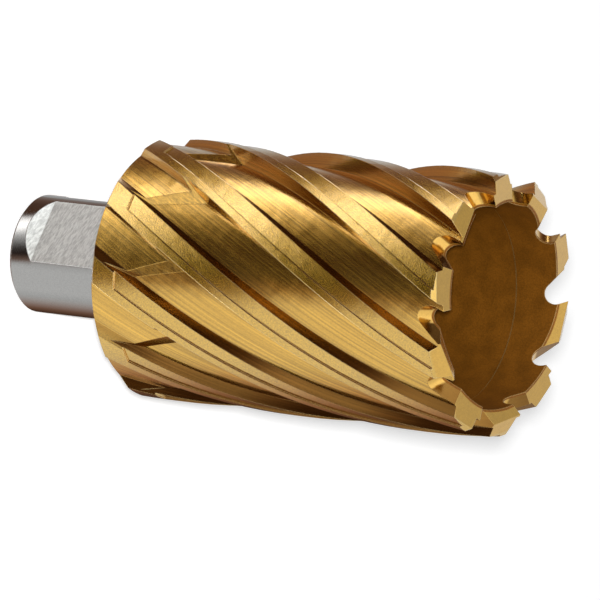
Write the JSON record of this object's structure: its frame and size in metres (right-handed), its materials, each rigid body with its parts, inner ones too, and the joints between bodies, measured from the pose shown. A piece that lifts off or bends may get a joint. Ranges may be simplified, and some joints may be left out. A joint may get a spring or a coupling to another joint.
{
  "type": "annular cutter",
  "caption": "Hollow helical-fluted core drill with a ring of ground teeth, a gold coating and a bare clamping shank with two flats.",
  "frame": {"origin": "centre of the shank's end face, on which the cutter stands", "axes": "+Z along the cutter's axis, from the shank towards the teeth; it turns counter-clockwise about +Z when it cuts"},
  "size_m": [0.042, 0.042, 0.0887],
  "materials": {
    "coated_steel": "gold nitride coating over ground steel, bare satin steel on the shank"
  },
  "bodies": {
    "root": {"cutter": "coated_steel"}
  },
  "joints": []
}
